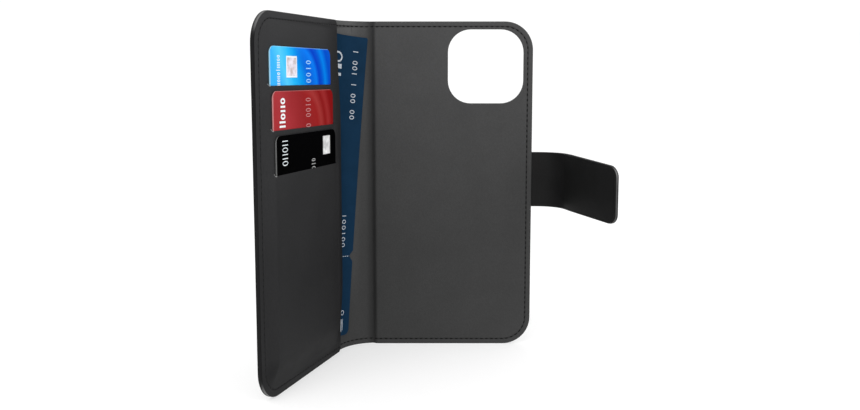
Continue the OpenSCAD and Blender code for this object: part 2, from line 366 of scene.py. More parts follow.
def mix_color(nodes, links, fac, a, b, mode="MIX"):
    m = nodes.new("ShaderNodeMix")
    m.data_type = "RGBA"
    m.blend_type = mode
    if isinstance(fac, float):
        m.inputs[0].default_value = fac
    else:
        links.new(fac, m.inputs[0])
    for socket, val in ((m.inputs[6], a), (m.inputs[7], b)):
        if isinstance(val, tuple):
            socket.default_value = (*val, 1)
        else:
            links.new(val, socket)
    return m.outputs[2]


def leather_material(name, dark, light, rough, grain, grain_depth, gloss, foot_painted_shade=None, painted_light=False):
    """Artificial leather: a cell grain with fine pores and mottled colour. It can be given how dark a
    painted shade makes it towards the foot, and its pieces can carry a layer of painted shade (above 0)
    and painted highlights (below 0)."""
    mat, nodes, links, shader = node_tree(name)
    at = coords(nodes)
    mottle = noise(nodes, links, at, 60.0, 4.0)
    fine = noise(nodes, links, at, 1400.0, 2.0)
    col = ramp(nodes, links, mottle, [(0.3, dark), (0.7, light)])
    col = mix_color(nodes, links, span(nodes, links, fine, 0.35, 0.65, 0.0, 0.25), col,
                    tuple(c * 0.72 for c in dark))
    # painted shade: darker towards the foot, where less light falls
    if foot_painted_shade is not None:
        split = nodes.new("ShaderNodeSeparateXYZ")
        links.new(at, split.inputs[0])
        shade = span(nodes, links, split.outputs["Z"], 0.3 * COVER_H * MM, COVER_H * MM, foot_painted_shade, 1.0)
        tint = nodes.new("ShaderNodeCombineColor")
        for i in range(3):
            links.new(shade, tint.inputs[i])
        col = mix_color(nodes, links, 1.0, col, tint.outputs[0], "MULTIPLY")
    # the per-point layer: painted shade above 0 darkens towards a quarter of the dark tone, painted
    # highlights below 0 pale it towards grey
    if painted_light:
        painted_light_layer = nodes.new("ShaderNodeAttribute")
        painted_light_layer.attribute_name = "painted_light_layer"
        depth = span(nodes, links, painted_light_layer.outputs["Fac"], 0.0, 1.0, 0.0, 1.0)
        painted_highlight_share = span(nodes, links, painted_light_layer.outputs["Fac"], -1.0, 0.0, 1.0, 0.0)
        col = mix_color(nodes, links, depth, col, tuple(c * 0.25 for c in dark))
        col = mix_color(nodes, links, painted_highlight_share, col, srgb("#8a8a8a"))
    links.new(col, shader.inputs["Base Color"])
    cells = nodes.new("ShaderNodeTexVoronoi")
    cells.inputs["Scale"].default_value = grain
    cells.inputs["Randomness"].default_value = 0.9
    links.new(at, cells.inputs["Vector"])
    normal = bump(nodes, links, cells.outputs["Distance"], 0.5, grain_depth)
    normal = bump(nodes, links, fine, 0.25, grain_depth * 0.5, normal)
    links.new(normal, shader.inputs["Normal"])
    links.new(span(nodes, links, mottle, 0.3, 0.7, rough - 0.05, rough + 0.07),
              shader.inputs["Roughness"])
    shader.inputs["Specular IOR Level"].default_value = gloss
    return mat


def thread_material():
    mat, nodes, links, shader = node_tree("thread_look")
    at = coords(nodes)
    twist = nodes.new("ShaderNodeTexWave")
    twist.bands_direction = "DIAGONAL"
    twist.inputs["Scale"].default_value = 900.0
    twist.inputs["Distortion"].default_value = 1.0
    links.new(at, twist.inputs["Vector"])
    stops = [(0.2, (0.003, 0.003, 0.003)), (0.9, (0.009, 0.009, 0.009))]
    col = ramp(nodes, links, twist.outputs["Fac"], stops)
    links.new(col, shader.inputs["Base Color"])
    links.new(bump(nodes, links, twist.outputs["Fac"], 0.6, 0.0001), shader.inputs["Normal"])
    shader.inputs["Roughness"].default_value = 0.6
    shader.inputs["Specular IOR Level"].default_value = 0.1
    return mat


def plain_material(name, a, b, scale, rough, metallic=0.0, depth=0.00003, stretch=(1, 1, 1), gloss=0.2):
    """A finish with a stretched mottle in colour, gloss and surface."""
    mat, nodes, links, shader = node_tree(name)
    at = coords(nodes)
    mapping = nodes.new("ShaderNodeMapping")
    mapping.inputs["Scale"].default_value = stretch
    links.new(at, mapping.inputs["Vector"])
    n = noise(nodes, links, mapping.outputs["Vector"], scale, 5.0)
    links.new(ramp(nodes, links, n, [(0.3, a), (0.7, b)]), shader.inputs["Base Color"])
    links.new(span(nodes, links, n, 0.3, 0.7, rough - 0.06, rough + 0.06), shader.inputs["Roughness"])
    links.new(bump(nodes, links, n, 0.4, depth), shader.inputs["Normal"])
    shader.inputs["Metallic"].default_value = metallic
    shader.inputs["Specular IOR Level"].default_value = gloss
    return mat


OUTER = leather_material("outer_leather_look", srgb("#121213"), srgb("#161617"),
                         0.48, 1100.0, 0.00012, 0.1, painted_light=True)
# painted shade darkens the lining towards the foot
LINING = leather_material("lining_look", srgb("#434343"), srgb("#484848"),
                          0.62, 1900.0, 0.00004, 0.12, foot_painted_shade=0.69, painted_light=True)
# the panel's leather is the lining's, painted darker as painted shade for the flap, which turns away from
# the light, and darker still towards the foot by painted shade
PANEL_LEATHER_PAINTED_SHADE = leather_material("panel_leather_painted_shade_look", srgb("#353536"), srgb("#39393a"),
                         0.6, 1900.0, 0.00004, 0.06, foot_painted_shade=0.58, painted_light=True)
# the strap's lining, painted near black: painted shade for a face turned away from the light
STRAP_LINING_PAINTED_SHADE = leather_material("strap_lining_painted_shade_look", srgb("#171717"), srgb("#1c1c1c"),
                                 0.5, 1900.0, 0.00005, 0.08)
THREAD = thread_material()


# ---------------------------------------------------------------- camera, light and floor
CAMERA_AT = (-11.0, -409.6, 127.05)
CAMERA_DOWN = math.radians(6.69)
CAMERA_LENS = 36.79
CAMERA_SHIFT = -0.03


def make_camera():
    data = bpy.data.cameras.new("camera")
    data.lens = CAMERA_LENS
    data.sensor_width = 36.0
    data.shift_y = CAMERA_SHIFT
    data.clip_start = 0.01
    data.clip_end = 20.0
    cam = bpy.data.objects.new("camera", data)
    cam.location = Vector(CAMERA_AT) * MM
    cam.rotation_euler = (math.pi / 2 - CAMERA_DOWN, 0, 0)
    bpy.context.scene.collection.objects.link(cam)
    bpy.context.scene.camera = cam


def area_light(name, at, target, size, watts):
    data = bpy.data.lights.new(name, "AREA")
    data.shape = "RECTANGLE"
    data.size, data.size_y = size
    data.energy = watts
    lamp = bpy.data.objects.new(name, data)
    lamp.location = at
    lamp.rotation_mode = "QUATERNION"
    lamp.rotation_quaternion = (Vector(target) - Vector(at)).to_track_quat("-Z", "Y")
    bpy.context.scene.collection.objects.link(lamp)


def make_stage():
    """A pale floor that curves up into a backdrop, and soft light from above and the front."""
    mat, nodes, links, shader = node_tree("studio_floor")
    n = noise(nodes, links, coords(nodes), 3.0)
    links.new(ramp(nodes, links, n, [(0.3, (0.50, 0.50, 0.50)), (0.7, (0.52, 0.52, 0.52))]),
              shader.inputs["Base Color"])
    shader.inputs["Emission Color"].default_value = (1, 1, 1, 1)
    shader.inputs["Emission Strength"].default_value = 0.52
    shader.inputs["Roughness"].default_value = 0.9
    shader.inputs["Specular IOR Level"].default_value = 0.1
    bm = bmesh.new()
    bend, far, half = 0.8, 1.2, 6.0
    line = [(-half, 0.0)] + [(far + bend * math.sin(a), bend * (1 - math.cos(a)))
                             for a in [math.pi / 2 * i / 16 for i in range(17)]] + [(far + bend, half)]
    rows = [[bm.verts.new((x, y, cad_box[0].z + z)) for x in (-half, half)] for y, z in line]
    for a, b in zip(rows, rows[1:]):
        bm.faces.new((a[0], a[1], b[1], b[0]))
    mesh = bpy.data.meshes.new("floor")
    bm.to_mesh(mesh)
    bm.free()
    mesh.materials.append(mat)
    mesh.polygons.foreach_set("use_smooth", [True] * len(mesh.polygons))
    floor = bpy.data.objects.new("floor", mesh)
    bpy.context.scene.collection.objects.link(floor)
    world = bpy.data.worlds.new("studio")
    world.use_nodes = True
    background = world.node_tree.nodes["Background"]
    background.inputs["Color"].default_value = (1, 1, 1, 1)
    background.inputs["Strength"].default_value = 0.95
    bpy.context.scene.world = world
    area_light("key", (-0.35, -0.8, 1.2), (0, 0, 0.1), (1.0, 0.8), 6.0)
    area_light("fill", (0.9, -0.9, 0.6), (0, 0, 0.08), (0.8, 0.8), 2.5)
    bpy.context.scene.view_settings.view_transform = "Standard"


# ---------------------------------------------------------------- leather pieces
def wave(s, z):
    """The slight unevenness of glued leather, 0 to 1."""
    w = math.sin(s * 0.21 + 1.3 * math.sin(z * 0.055)) * math.sin(z * 0.13 + 0.8 * math.sin(s * 0.09))
    w += 0.5 * math.sin(s * 0.47 + z * 0.19 + 1.0) * math.sin(z * 0.31 - s * 0.11)
    return 0.5 + w / 3


def on_spine(s):
    """0 on the covers and 1 on the spine, across each fold."""
    return ease((0.3 - s) / 2.1) if s > SPINE_MID else ease((s + SPINE_W + 1.2) / 1.6)


def edge_distance(x, z, w):
    """Distance of a point of a cover from the cover's free edges."""
    cx = w - CORNER_R
    cz = min(z, COVER_H - z)
    if x > cx and cz < CORNER_R:
        return CORNER_R - math.hypot(x - cx, CORNER_R - cz)
    return min(w - x, cz)


# Painted shade in the stitched groove, strongest at the groove's middle.
def groove_painted_shade(distance):
    return 0.6 * max(0.0, 1 - abs(distance - GROOVE) / 0.5)


def pressed(v, t, low, high, to_low, to_high):
    """Depth v with the range low..high moved to to_low..to_high by the share t."""
    return lerp(v, to_low + (v - low) * (to_high - to_low) / (high - low), t)


SKIN_EDGE = [(0.6, -1.0), (0.25, -0.96), (0.07, -0.82), (0.0, -0.6), (0.0, 0.35)]
GROOVE_DIP = [(-0.5, 0.0), (-0.34, -0.04), (-0.18, -0.14), (0.0, -0.18),
              (0.18, -0.14), (0.34, -0.04), (0.5, 0.0)]


def lined_edge(v, inset, width):
    """A lining's rounded edge, from its underside to the field inside its stitched groove."""
    rows = [(3.5, v - width), (inset + 0.08, v - width), (inset, v - 0.7 * width),
            (inset, v - 0.35 * width), (inset + 0.09, v - 0.05), (inset + 0.3, v), (1.1, v + 0.04)]
    return rows + [(GROOVE + d, v + dv * width / 0.4) for d, dv in GROOVE_DIP]


def spine_painted_light(s, z):
    """Painted light: the spine's leather is painted paler towards its outer fold and its top."""
    return -0.08 * ease((-s - 6) / 7) * (ease((z - 10) / 40) + ease((z - 70) / 50))


def spine_lines(a, b):
    return steps(a, b, 0.55)


def grid(bm, s_lines, z_lines):
    cut(bm, 0, s_lines)
    cut(bm, 1, z_lines)


def back_skin():
    lip = [(0.06, 0.52), (0.2, 0.58), (0.42, 0.58), (0.5, 0.5), (0.5, -0.6)]
    hole = rounded_path(CAM_S, CAM_Z, CAM_W, CAM_H, CAM_R)
    bm = slab(cover_path(SPINE_MID, BACK_W), SKIN_EDGE + lip, holes=[(hole, SKIN_EDGE + lip)])
    grid(bm, spine_lines(SPINE_MID, 1.0) + steps(4, 70, 4), steps(6, 146, 4) + strap_notch_lines())

    def place(s, z, v):
        if v > -0.6:
            v = pressed(v, on_spine(s), -0.6, 0.58, -0.6, -0.17)
            if s > BACK_W - 1:
                v = lerp(v, min(v, -0.47), strap_notch(z))
        else:
            v -= 0.06 * wave(s, z)
        return wrap(s, z, v)

    obj = finish_mesh(bm, "back_outer_leather", place, OUTER)
    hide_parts("back_outer_skin", "spine_outer_skin")
    bend_back(obj)


def strap_notch_lines():
    return [STRAP_Z + side * (STRAP_W / 2 + d) for side in (-1, 1) for d in (0.05, 0.2, 0.35)]


def strap_notch(z):
    """1 where the strap's root passes over the turned edge of the back cover."""
    return ease((STRAP_W / 2 + 0.35 - abs(z - STRAP_Z)) / 0.3)


def bend_back(obj):
    start, end = (wrap(s, 0, 0) * MM for s in BACK_BEND)
    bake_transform(obj)
    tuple(start)
    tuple(end)


def bend_front(obj):
    start, end = (wrap(s, 0, 0) * MM for s in FRONT_BEND)
    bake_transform(obj)
    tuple(start)
    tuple(end)


def corner_painted_highlight(s, z, v):
    """A painted highlight: light caught by the turned edge at the front cover's two free corners."""
    x = -SPINE_W - s - (FRONT_W - CORNER_R)
    up = abs(z - COVER_H / 2) - (COVER_H / 2 - CORNER_R)
    if not 0 < v < 0.75 or x < 0 or up < 0:
        return 0.0
    turn = math.degrees(math.atan2(up, x))
    return -0.5 * ease((turn - 15) / 25) * ease((85 - turn) / 25)


def front_skin():
    lip = [(0.05, 0.72), (0.16, 0.84), (0.42, 0.84), (0.5, 0.76), (0.5, -0.6)]
    bm = slab(cover_path(SPINE_MID, FRONT_W, -1), SKIN_EDGE + lip)
    grid(bm, spine_lines(-SPINE_W - 2, SPINE_MID) + steps(-92, -26, 4), steps(6, 146, 4))

    def place(s, z, v):
        if v > -0.6:
            v = pressed(v, on_spine(s), -0.6, 0.84, -0.6, -0.17)
        else:
            v -= 0.06 * wave(s, z)
        return wrap(s, z, v)

    obj = finish_mesh(bm, "front_outer_leather", place, OUTER, painted_light=corner_painted_highlight)
    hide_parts("front_outer_skin")
    bend_front(obj)


def back_inner():
    hole = rounded_path(CAM_S, CAM_Z, CAM_W, CAM_H, CAM_R)
    rim = [(0.6, 0.6), (0.12, 0.6), (0.04, 0.7), (0.04, 0.86), (0.13, 0.96), (0.4, 1.0)]
    bm = slab(cover_path(SPINE_MID, BACK_W), lined_edge(1.0, 0.06, 0.4), holes=[(hole, rim)])
    grid(bm, spine_lines(SPINE_MID, 1.0) + steps(3, 70, 3), steps(6, 146, 3))

    def place(s, z, v):
        if v > 0.99:
            v += 0.07 * wave(s, z) * ease((BACK_W - s) / 8)
        v = pressed(v, on_spine(s), 0.6, 1.0, -0.15, 0.0)
        return wrap(s, z, v)

    def painted_light(s, z, v):
        # painted shade along the back fold's crease and in the stitched groove, and painted light paling
        # the spine
        fold = ease((0.8 - s) / 1.4) * (1 - ease((-s - 1.4) / 4.0))
        return max(0.61 * fold, groove_painted_shade(edge_distance(s, z, BACK_W))) or spine_painted_light(s, z)

    obj = finish_mesh(bm, "back_lining_leather", place, LINING, painted_light=painted_light)
    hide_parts("back_lining", "spine_lining")
    bend_back(obj)


def front_inner():
    """The thin lining under the pockets, seen on the spine."""
    bm = slab(cover_path(SPINE_MID, FRONT_W, -1), lined_edge(0.0, 0.6, 0.15))
    grid(bm, spine_lines(-SPINE_W - 2, SPINE_MID) + steps(-92, -26, 6), steps(6, 146, 4))

    def place(s, z, v):
        edge = min(z, COVER_H - z)
        shift = 0.54 * ease((s + SPINE_W + 0.5) / 2) * min(1.0, max(0.0, (2.0 - edge) / 1.4))
        z += shift if z > COVER_H / 2 else -shift
        return wrap(s, z, v)

    def painted_light(s, z, v):
        # painted shade in the groove along the top and bottom, else painted light on the spine
        return groove_painted_shade(edge_distance(0, z, FRONT_W)) or spine_painted_light(s, z)

    obj = finish_mesh(bm, "front_lining_leather", place, LINING, painted_light=painted_light)
    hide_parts("front_lining")
    bend_front(obj)


# ---------------------------------------------------------------- pocket panel
def slit_share(x, z, slit):
    """How far the panel has stepped out at one slit: a sharp lip along the card, and a
    ramp beyond the slit's ends."""
    beyond = max(0.0, CARD_X - 0.6 - x, x - CARD_X - CARD_W - 0.6)
    length = min(6.0, 0.4 + 1.5 * beyond)
    return 1 - ease((z - slit + (length - 0.4) / 2) / length)


def panel_lift(x, z):
    """How far the cards raise the panel off its stitched rim."""
    share = sum(slit_share(x, z, slit) for slit in SLITS)
    share *= ease((FRONT_W - RIM - x) / SIDE_SLOPE)
    share *= ease((x - PANEL_X) / MOUTH_SLOPE)
    share *= ease((z - RIM) / FOOT)
    gape = 1.3 * (1 - ease((x - PANEL_X) / 10)) * ease((z - 8) / 26) * ease((COVER_H - 8 - z) / 40)
    return LEVEL_STEP * share + gape


def panel_painted_shade(x, z):
    """Painted shade: the leather is painted darker near the mouth, over the slope up from the foot and
    towards the side.
    """
    mouth = 0.45 * (1 - ease((x - PANEL_X) / 16))
    rise = min(1.0, max(0.0, (z - RIM) / FOOT))
    side = 0.08 * ease((x - FRONT_W + RIM + SIDE_SLOPE + 4) / 4)
    return max(mouth, 2.0 * rise * (1 - rise), side)


def panel_point(x, z, v):
    corner = 2.5
    edge = min(z, COVER_H - z)
    if edge < corner:
        back_off = corner - math.sqrt(corner ** 2 - (corner - edge) ** 2)
        x += back_off * max(0.0, 1 - (x - PANEL_X) / 6)
    v += panel_lift(x, z) * min(1.0, max(0.0, (v - 0.02) / 0.8))
    return front(x, z, v)


def pocket_panel():
    low = [(5.2, 0.82), (4.8, 0.6), (4.5, 0.02), (0.56, 0.02), (0.56, 0.86), (0.2, 0.86)]
    high = [(0.09, 0.91), (0.16, 0.98), (0.35, 1.0), (1.1, 1.015)]
    high += [(GROOVE + d, 1.0 + dv) for d, dv in GROOVE_DIP] + [(4.6, PANEL_TOP)]
    slit_w = CARD_W + 1.2
    lip = [(0.1, 0.82), (0.0, 0.88), (0.0, 0.96), (0.1, PANEL_TOP)]
    mid = CARD_X + CARD_W / 2
    holes = [(rounded_path(mid, slit + 0.2, slit_w, 0.4, 0.15, 2), lip) for slit in SLITS]

    def path(d):
        return [(-SPINE_W - s, z) for s, z in front_path(PANEL_X)(d)]

    bm = slab(path, low + high, holes=holes)
    xs = steps(PANEL_X + 1, 69, 1.5) + [PANEL_X + d for d in (0.1, 0.25, 0.5)]
    for end in (CARD_X - 0.6, CARD_X + CARD_W + 0.6):
        xs += [end + d for d in (-3, -2.2, -1.5, -1, -0.6, -0.3, 0.3, 0.6, 1, 1.5, 2.2, 3)]
    zs = steps(5, 147, 2)
    for slit in SLITS:
        zs += [slit + d for d in (-3, -2.2, -1.5, -0.9, -0.4, -0.1, 0.5, 0.9, 1.4, 2.1)]
    grid(bm, sorted(xs), sorted(zs))

    def painted_light(x, z, v):
        # a painted highlight at each slit's outer end; elsewhere painted shade in the groove, by the
        # mouth, over the foot's slope and towards the side
        if any(math.hypot(x - CARD_X - CARD_W - 0.6, z - slit - 0.2) < 0.5 for slit in SLITS):
            return -1.0
        deeper = SEAM_DEEPER * seam_share(-SPINE_W - x)
        return max(groove_painted_shade(edge_distance(x, z, FRONT_W) - deeper), panel_painted_shade(x, z))

    obj = finish_mesh(bm, "pocket_panel_leather", panel_point, PANEL_LEATHER_PAINTED_SHADE, painted_light=painted_light)
    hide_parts("pocket_panel")
    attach(obj, "front_cover")


# ---------------------------------------------------------------- stitching
def along(points, pitch):
    """Places at one pitch along a polyline, each with its direction."""
    out = []
    left = pitch / 2
    for (s0, z0), (s1, z1) in zip(points, points[1:]):
        length = math.hypot(s1 - s0, z1 - z0)
        if length < 1e-6:
            continue
        while left <= length:
            t = left / length
            out.append((s0 + (s1 - s0) * t, z0 + (z1 - z0) * t, math.atan2(z1 - z0, s1 - s0)))
            left += pitch
        left -= length
    return out


def stitch(bm, s, z, angle, v, length, r):
    """One stitch: a thread lying in the groove with both ends diving into it."""
    rows = []
    n, sides = 8, 7
    for i in range(n + 1):
        t = 2 * i / n - 1
        half = r * math.sqrt(max(0.05, 1 - t ** 6))
        drop = 0.16 * t ** 4
        row = []
        for k in range(sides):
            a = 2 * math.pi * k / sides
            across, up = half * math.cos(a), 0.8 * half * math.sin(a)
            ds = t * length / 2
            row.append(bm.verts.new((s + ds * math.cos(angle) - across * math.sin(angle),
                                     z + ds * math.sin(angle) + across * math.cos(angle),
                                     v + up - drop)))
        rows.append(row)
    for a, b in zip(rows, rows[1:]):
        bridge(bm, a, b, True)
    bm.faces.new(rows[0])
    bm.faces.new(list(reversed(rows[-1])))


def mouth_tacks():
    """The few stitches that hold the ends of the bill pocket's mouth."""
    return [(-SPINE_W - PANEL_X - 0.9, z, math.pi / 2)
            for k in (0, 1, 2) for z in (4.2 + 2.1 * k, COVER_H - 4.2 - 2.1 * k)]


def stitching(name, path, place, nodes_replaced, bend, tacks=()):
    bm = bmesh.new()
    row = [p for p in along(path(GROOVE), 2.4) if abs(p[0] + SPINE_W + PANEL_X) >= 1.3]
    for s, z, angle in row + list(tacks):
        stitch(bm, s, z, angle, 0.96, 1.4, 0.21)
    obj = finish_mesh(bm, name, place, THREAD)
    obj.modifiers.clear()
    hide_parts(*nodes_replaced)
    bend(obj)


def back_thread(s, z, v):
    return wrap(s, z, pressed(v, on_spine(s), 0.82, 1.0, -0.07, 0.09))


def front_thread(s, z, v):
    """On the pocket panel the thread lies deeper, so that the top card slides over it."""
    x = -SPINE_W - s
    if x < PANEL_X + 0.3:
        return wrap(s, z, pressed(v, 1, 0.82, 1.0, -0.07, 0.09))
    return panel_point(x, z, v - 0.12)


# ---------------------------------------------------------------- ticket
TICKET_T = 0.15
TICKET_TILT = math.radians(5.2)
TICKET_TOP = (-3.2, 144.4)


def on_ticket(down, inward):
    """A point of the flat slip, from its top right corner."""
    sin, cos = math.sin(TICKET_TILT), math.cos(TICKET_TILT)
    return (TICKET_TOP[0] - sin * down - cos * inward, TICKET_TOP[1] - cos * down + sin * inward)


def ticket_outline():
    """Its right edge has a small V notch and its foot a round corner."""
    length, notch, corner = 138.5, 101.3, 2.6
    points = [on_ticket(d, i) for d, i in ((0.5, 0), (notch - 2.6, 0), (notch, 2.2), (notch + 2.6, 0))]
    points += [on_ticket(length - corner + corner * math.sin(a), corner - corner * math.cos(a))
               for a in [math.pi / 2 * i / 8 for i in range(9)]]
    points += [on_ticket(length, 46), (on_ticket(0, 46)[0], 146.6), on_ticket(0, 25), on_ticket(0, 0.5)]
    return points


def ticket_rise(s):
    """The paper is stiffer than the leather, so it stands off the spine's curve."""
    if s > -12:
        return lerp(0.35, 0.9, ease((-s - 3) / 9))
    return lerp(0.9, 0.35, ease((-s - 12) / 14))


def ticket_point(s, z, v):
    return wrap(s, z, v + ticket_rise(s))


def ticket():
    points = ticket_outline()
    bm = bmesh.new()
    low = ring(bm, points, 0)
    high = ring(bm, points, TICKET_T)
    bridge(bm, low, high, True)
    fill(bm, [low], False)
    fill(bm, [high], True)
    grid(bm, steps(-30, -3, 0.6) + steps(-48, -31, 3), steps(8, 146, 6))
    obj = finish_mesh(bm, "ticket", ticket_point, TICKET)
    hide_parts("ticket_tail", "ticket_body")
    bend_front(obj)


# ---------------------------------------------------------------- printed marks
def block(bm, a0, a1, b0, b1, t, n=3):
    """A thin printed bar in (a, b), cut across a so that it follows a curved sheet."""
    rows = []
    for i in range(n + 1):
        a = lerp(a0, a1, i / n)
        rows.append([bm.verts.new((a, b, h)) for b, h in ((b0, 0), (b1, 0), (b1, t), (b0, t))])
    for one, two in zip(rows, rows[1:]):
        bridge(bm, one, two, True)
    bm.faces.new(rows[0])
    bm.faces.new(list(reversed(rows[-1])))


def loop_mark(bm, a0, a1, b0, b1, stroke, t):
    """A thin printed ring that fills a0..a1, b0..b1."""
    turns = [2 * math.pi * i / 14 for i in range(14)]
    loops = []
    for inset, h in ((0, 0), (0, t), (stroke, t), (stroke, 0)):
        half_a, half_b = (a1 - a0) / 2 - inset, (b1 - b0) / 2 - inset
        loops.append([bm.verts.new(((a0 + a1) / 2 + half_a * math.cos(turn),
                                    (b0 + b1) / 2 + half_b * math.sin(turn), h)) for turn in turns])
    for one, two in zip(loops, loops[1:] + loops[:1]):
        bridge(bm, one, two, True)


def mark_row(bm, pattern, a0, a1, b0, pitch, stroke, share=0.72, t=0.05):
    """A row of generic marks along b: O a ring, I a bar, H two bars, o and h shorter ones."""
    for i, mark in enumerate(pattern):
        b = b0 + i * pitch
        wide = share * pitch
        low = lerp(a0, a1, 0.22) if mark in "oh" else a0
        if mark in "Oo":
            loop_mark(bm, low, a1, b, b + wide, stroke, t)
        elif mark == "I":
            block(bm, a0, a1, b + (wide - stroke) / 2, b + (wide + stroke) / 2, t)
        elif mark in "Hh":
            block(bm, low, a1, b, b + stroke, t)
            block(bm, low, a1, b + wide - stroke, b + wide, t)


def ticket_print():
    """Rows of white rings and bars, a perforation line and two code bars."""
    bm = bmesh.new()
    mark_row(bm, "I OOI I OO OO", 4.2, 7.0, 6.0, 2.5, 0.37)
    mark_row(bm, "IOOIOO", 5.6, 8.2, 81.5, 2.7, 0.37)
    for k in range(6):
        block(bm, 2.8 + 1.5 * k, 3.7 + 1.5 * k, 101.2, 101.5, 0.05, 1)
    loop_mark(bm, 13.4, 20, 7.6, 12.6, 0.8, 0.05)
    block(bm, 13.8, 18, 13.3, 15.3, 0.05)
    block(bm, 14.0, 18, 17.3, 18.6, 0.05)
    loop_mark(bm, 4.0, 6.4, 126.6, 129.0, 0.35, 0.05)
    block(bm, 4.6, 4.9, 130.8, 136.0, 0.05, 1)
    block(bm, 5.6, 6.3, 130.8, 136.6, 0.05, 1)

    def place(inward, down, h):
        s, z = on_ticket(down, inward)
        return ticket_point(s, z, TICKET_T + h - 0.01)

    obj = finish_mesh(bm, "ticket_print", place, TICKET_INK, smooth=False)
    bend_front(obj)


def card_place(k):
    """The frame on the face of card k: across from its outer edge, up from its foot, out."""
    face = PANEL_TOP + k * LEVEL_STEP + CARD_T
    foot = SLITS[k] + CARD_SHOW - CARD_H

    def place(across, up, out):
        return front(CARD_X + CARD_W - across, foot + up, face + out)
    return place


def card_print(name, k, body, material, *rows):
    """Rows of marks on card k, each (pattern, low edge, high edge, start, pitch, stroke)."""
    bm = bmesh.new()
    for row in rows:
        mark_row(bm, *row, t=0.03)
    obj = finish_mesh(bm, name, card_place(k), material, smooth=False)
    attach(obj, body)


def card_prints():
    card_print("top_card_print", 0, "top_card", WHITE_INK,
               ("ohhooIhhoIohoohoohohohoIhhoo", 4.9, 7.9, 45.0, 1.34, 0.3))
    card_print("top_card_digits", 0, "top_card", SKY_INK,
               ("OIOO OIO OOIO", 30.5, 34.9, 48.35, 2.55, 0.42, 0.62))
    card_print("middle_card_print", 1, "middle_card", WHITE_INK,
               ("HohoIho Hoho", 4.9, 9.7, 47.2, 3.02, 0.8, 0.82))
    card_print("middle_card_digits", 1, "middle_card", PINK_INK,
               ("OIOO OIOO OIO OOIO", 27.7, 32.2, 44.9, 2.12, 0.36))
    card_print("bottom_card_print", 2, "bottom_card", WHITE_INK,
               ("HIOIHOIHOI", 4.9, 9.4, 44.1, 2.65, 0.34), ("OHOH", 4.9, 9.4, 73.7, 2.65, 0.34))
    card_print("bottom_card_digits", 2, "bottom_card", GREY_INK,
               ("OIOO OIOO OIO OIO", 30.3, 33.8, 46.9, 1.65, 0.34))


# ---------------------------------------------------------------- strap
def strap_width(q):
    start = STRAP_S + STRAP_R * STRAP_BEND + STRAP_RUN + 1
    return lerp(STRAP_W, STRAP_TIP_W, min(1.0, max(0.0, (q - start) / 40))) / 2


STRAP_MID = STRAP_S + STRAP_R * STRAP_BEND * 0.62
STRAP_END = STRAP_S + STRAP_R * STRAP_BEND + STRAP_RUN + STRAP_TIP


def root_path(d):
    w = STRAP_W / 2 - d
    inner = d - STRAP_ROOT
    return [(STRAP_MID, STRAP_Z - w), (inner, STRAP_Z - w), (inner, STRAP_Z + w), (STRAP_MID, STRAP_Z + w)]


def tip_path(d):
    r, along = 4.5, 7.0
    c = STRAP_END - along
    points = [(q, STRAP_Z - strap_width(q) + d) for q in (STRAP_MID, STRAP_FULL)]
    w = STRAP_TIP_W / 2
    for z, a in ((STRAP_Z - w + r, -90), (STRAP_Z + w - r, 0)):
        points += [(c + (q - c) * (along - d) / (r - d), y) for q, y in arc(c, z, r - d, a, a + 90, 12)]
    return points + [(q, STRAP_Z + strap_width(q) - d) for q in (STRAP_FULL, STRAP_MID)]


def strap_point(q, z, v):
    v *= lerp(0.58, 1.0, ease((q - 0.2) / 1.6))
    return strap_wrap(q, z, v)


def end_painted_highlight(q, z, v):
    """A painted highlight: light caught by the turned edge round the strap's end."""
    if not 0 < v < 0.32:
        return 0.0
    return -lerp(0.3, 0.7, ease((z - STRAP_Z - 6) / 3)) * ease((q - STRAP_END + 5) / 4)


def strap_piece(name, path, profile, material, bodies, at, *nodes_replaced, painted_light=None):
    bm = slab(path, profile)
    lines = [q for q in steps(-1, 32, 0.6) if abs(q - STRAP_MID) > 0.2]
    grid(bm, lines + steps(34, 68, 4), steps(STRAP_Z - 12, STRAP_Z + 12, 4))
    obj = finish_mesh(bm, name, strap_point, material, painted_light=painted_light)
    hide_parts(*nodes_replaced)
    strap_wrap(at - 1.9, 0, 0) * MM
    strap_wrap(at + 1.9, 0, 0) * MM
    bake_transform(obj)


def strap():
    skin = [(0.5, -0.75), (0.2, -0.72), (0.05, -0.6), (0.0, -0.45), (0.0, 0.18),
            (0.06, 0.3), (0.2, 0.35), (0.42, 0.35), (0.5, 0.28), (0.5, -0.35)]
    lining = [(0.6, 0.37), (0.14, 0.37), (0.07, 0.45), (0.07, 0.6), (0.15, 0.7), (0.4, 0.75),
              (0.9, 0.76), (1.25, 0.72), (1.4, 0.69), (1.55, 0.72), (1.9, 0.75)]
    side = ("back_cover", "strap_side")
    tip = ("strap_side", "strap_tip")
    fold = STRAP_END - STRAP_TIP
    strap_piece("strap_root_outer", root_path, skin, OUTER, side, STRAP_S,
                "strap_anchor", "strap_side_skin")
    strap_piece("strap_root_inner", root_path, lining, STRAP_LINING_PAINTED_SHADE, side, STRAP_S, "strap_side_lining")
    strap_piece("strap_tip_outer", tip_path, skin, OUTER, tip, fold, "strap_tip_skin", painted_light=end_painted_highlight)
    strap_piece("strap_tip_inner", tip_path, lining, STRAP_LINING_PAINTED_SHADE, tip, fold, "strap_tip_lining")


# ---------------------------------------------------------------- cards and hidden pieces
def paint(node, material):
    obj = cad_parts[node]
    obj.data.materials.clear()
    obj.data.materials.append(material)


